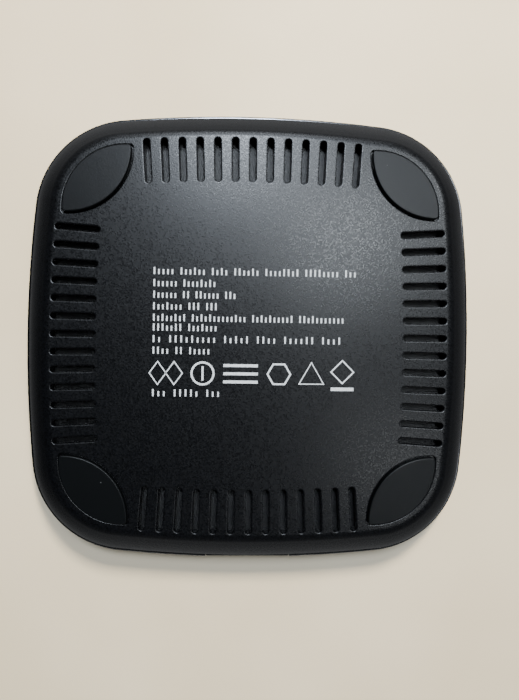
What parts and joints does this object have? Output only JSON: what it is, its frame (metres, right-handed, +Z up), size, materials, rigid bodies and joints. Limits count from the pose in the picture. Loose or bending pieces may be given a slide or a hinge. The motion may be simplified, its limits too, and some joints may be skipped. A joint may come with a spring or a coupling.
{
  "type": "wireless charging pad",
  "caption": "Low square wireless charging pad with rounded corners, a polished metal frame, a vented black rear cover, rubber feet and a charging coil under its flat top.",
  "frame": {"origin": "centre of the pad's footprint, on the plane that its feet stand on", "axes": "+Z up through the charging surface, +Y towards the side with the power socket, +X to the right seen from above with the socket away from the viewer"},
  "size_m": [0.097, 0.0969, 0.0128],
  "materials": {
    "abs_spark_textured": "spark-textured matte black",
    "polished_metal": "polished, dark plating",
    "abs_black_smooth": "smooth black",
    "acrylic_clear": "clear moulded acrylic",
    "abs_satin_black": "satin black",
    "silicone_black": "matte silicone",
    "polyimide_tape": "amber film",
    "litz_copper": "enamelled stranded copper",
    "ferrite": "sintered grey",
    "aluminium_sheet": "rolled",
    "epoxy_bead": "epoxy bead",
    "board_green": "green solder mask",
    "thermal_gel": "grey-blue gap pad",
    "tinned_steel": "tinned",
    "lcp_black": "moulded black",
    "gold_plate": "gold plated",
    "chip_epoxy": "moulded epoxy",
    "ceramic_tan": "ceramic",
    "inductor_grey": "pressed iron powder",
    "led_package": "white package",
    "foot_rubber": "matte rubber",
    "tape_white": "adhesive tape",
    "zinc_steel": "zinc plated",
    "nonwoven_grey": "dark grey non-woven cloth"
  },
  "bodies": {
    "root": {"rear_cover": "abs_spark_textured", "metal_frame": "polished_metal", "port_bezel": "abs_black_smooth", "light_pipe": "acrylic_clear", "top_cover": "abs_satin_black", "grip_ring": "silicone_black", "foot_front_left": "foot_rubber", "foot_front_right": "foot_rubber", "foot_rear_left": "foot_rubber", "foot_rear_right": "foot_rubber", "foot_tape_front_left": "tape_white", "foot_tape_front_right": "tape_white", "foot_tape_rear_left": "tape_white", "foot_tape_rear_right": "tape_white", "housing_screws": "zinc_steel", "vent_screen_front": "nonwoven_grey", "vent_screen_rear": "nonwoven_grey", "vent_screen_left": "nonwoven_grey", "vent_screen_right": "nonwoven_grey", "coil_tape": "polyimide_tape", "charging_coil": "litz_copper", "coil_lead_inner": "litz_copper", "coil_lead_outer": "litz_copper", "ferrite_sheet": "ferrite", "shield_plate": "aluminium_sheet", "thermistor": "epoxy_bead", "thermistor_leads": "tinned_steel", "circuit_board": "board_green", "board_screws": "zinc_steel", "thermal_pad": "thermal_gel", "usb_socket_shell": "tinned_steel", "usb_socket_tongue": "lcp_black", "usb_contacts": "gold_plate", "controller_chip": "chip_epoxy", "mosfets": "chip_epoxy", "resonant_capacitors": "ceramic_tan", "power_inductor": "inductor_grey", "input_capacitors": "ceramic_tan", "status_led": "led_package"}
  },
  "joints": []
}
